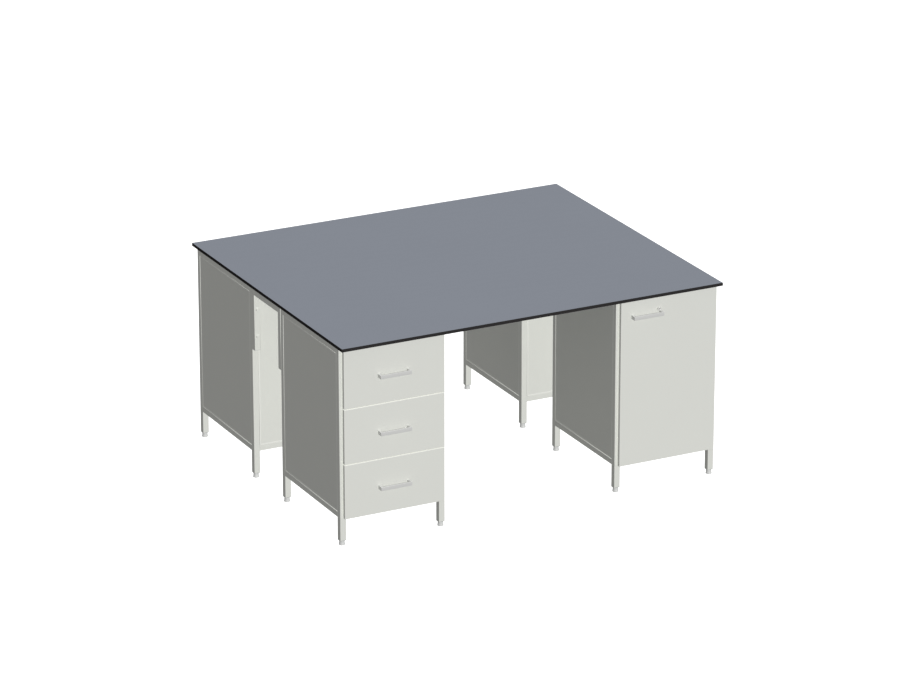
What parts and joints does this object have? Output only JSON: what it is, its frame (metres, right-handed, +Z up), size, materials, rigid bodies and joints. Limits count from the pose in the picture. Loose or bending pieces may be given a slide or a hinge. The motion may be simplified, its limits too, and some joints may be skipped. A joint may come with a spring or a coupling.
{
  "type": "teacher desk",
  "caption": "Large two-sided laboratory-style teacher desk: dark-edged slab top on tube-framed pedestals with drawers and lockable cupboards around an open knee space.",
  "frame": {"origin": "on the floor, under the centre of the worktop", "axes": "+X along the long edge of the worktop to the right, -Y towards the front with the drawers, +Z up"},
  "size_m": [1.8, 1.5146, 0.888],
  "materials": {
    "worktop": "matt blue-grey compact laminate with a near-black core showing at the edges",
    "frame_paint": "light grey powder coat with a very fine texture on steel tube",
    "board": "light grey melamine-faced board with matching edging",
    "handle_metal": "satin anodised aluminium",
    "lock_metal": "satin nickel-plated lock",
    "foot_plastic": "light grey moulded plastic levelling foot",
    "drawer_box": "white melamine-faced board drawer box"
  },
  "bodies": {
    "root": {"front_left_back_panel": "board", "front_left_bottom_panel": "board", "front_left_foot_inner_back": "foot_plastic", "front_left_foot_inner_open": "foot_plastic", "front_left_foot_outer_back": "foot_plastic", "front_left_foot_outer_open": "foot_plastic", "front_left_frame": "frame_paint", "front_left_inner_side_panel": "board", "front_left_outer_side_panel": "board", "front_right_back_panel": "board", "front_right_bottom_panel": "board", "front_right_foot_inner_back": "foot_plastic", "front_right_foot_inner_open": "foot_plastic", "front_right_foot_outer_back": "foot_plastic", "front_right_foot_outer_open": "foot_plastic", "front_right_frame": "frame_paint", "front_right_inner_side_panel": "board", "front_right_outer_side_panel": "board", "front_right_shelf": "board", "left_tie_frame": "frame_paint", "rear_left_back_panel": "board", "rear_left_bottom_panel": "board", "rear_left_foot_inner_back": "foot_plastic", "rear_left_foot_inner_open": "foot_plastic", "rear_left_foot_outer_back": "foot_plastic", "rear_left_foot_outer_open": "foot_plastic", "rear_left_frame": "frame_paint", "rear_left_inner_side_panel": "board", "rear_left_outer_side_panel": "board", "rear_left_shelf": "board", "rear_right_back_panel": "board", "rear_right_bottom_panel": "board", "rear_right_foot_inner_back": "foot_plastic", "rear_right_foot_inner_open": "foot_plastic", "rear_right_foot_outer_back": "foot_plastic", "rear_right_foot_outer_open": "foot_plastic", "rear_right_frame": "frame_paint", "rear_right_inner_side_panel": "board", "rear_right_outer_side_panel": "board", "rear_right_shelf": "board", "right_tie_frame": "frame_paint", "worktop": "worktop"},
    "front_left_lower_drawer": {"front_left_lower_drawer_box": "drawer_box", "front_left_lower_drawer_front": "board", "front_left_lower_drawer_handle": "handle_metal"},
    "front_left_middle_drawer": {"front_left_middle_drawer_box": "drawer_box", "front_left_middle_drawer_front": "board", "front_left_middle_drawer_handle": "handle_metal"},
    "front_left_upper_drawer": {"front_left_upper_drawer_box": "drawer_box", "front_left_upper_drawer_front": "board", "front_left_upper_drawer_handle": "handle_metal"},
    "front_right_door": {"front_right_door": "board", "front_right_door_handle": "handle_metal"},
    "front_right_lock": {"front_right_lock": "lock_metal"},
    "rear_left_door": {"rear_left_door": "board", "rear_left_door_handle": "handle_metal"},
    "rear_left_lock": {"rear_left_lock": "lock_metal"},
    "rear_right_door": {"rear_right_door": "board", "rear_right_door_handle": "handle_metal"},
    "rear_right_lock": {"rear_right_lock": "lock_metal"}
  },
  "joints": [
    {"name": "front_left_lower_drawer_slide", "type": "slide", "parent": "root", "child": "front_left_lower_drawer", "axis": [0, -1, 0], "range_m": [0, 0.38]},
    {"name": "front_left_middle_drawer_slide", "type": "slide", "parent": "root", "child": "front_left_middle_drawer", "axis": [0, -1, 0], "range_m": [0, 0.38]},
    {"name": "front_left_upper_drawer_slide", "type": "slide", "parent": "root", "child": "front_left_upper_drawer", "axis": [0, -1, 0], "range_m": [0, 0.38]},
    {"name": "front_right_door_hinge", "type": "hinge", "parent": "root", "child": "front_right_door", "pos_m": [0.883, -0.7095, 0.4965], "axis": [0, 0, 1], "range_deg": [0, 100]},
    {"name": "front_right_lock_turn", "type": "hinge", "parent": "front_right_door", "child": "front_right_lock", "pos_m": [0.6, -0.729, 0.814], "axis": [0, -1, 0], "range_deg": [0, 90]},
    {"name": "rear_left_door_hinge", "type": "hinge", "parent": "root", "child": "rear_left_door", "pos_m": [-0.883, 0.7095, 0.4965], "axis": [0, 0, 1], "range_deg": [0, 100]},
    {"name": "rear_left_lock_turn", "type": "hinge", "parent": "rear_left_door", "child": "rear_left_lock", "pos_m": [-0.6, 0.729, 0.814], "axis": [0, 1, 0], "range_deg": [0, 90]},
    {"name": "rear_right_door_hinge", "type": "hinge", "parent": "root", "child": "rear_right_door", "pos_m": [0.883, 0.7095, 0.4965], "axis": [0, 0, -1], "range_deg": [0, 100]},
    {"name": "rear_right_lock_turn", "type": "hinge", "parent": "rear_right_door", "child": "rear_right_lock", "pos_m": [0.6, 0.729, 0.814], "axis": [0, 1, 0], "range_deg": [0, 90]}
  ]
}
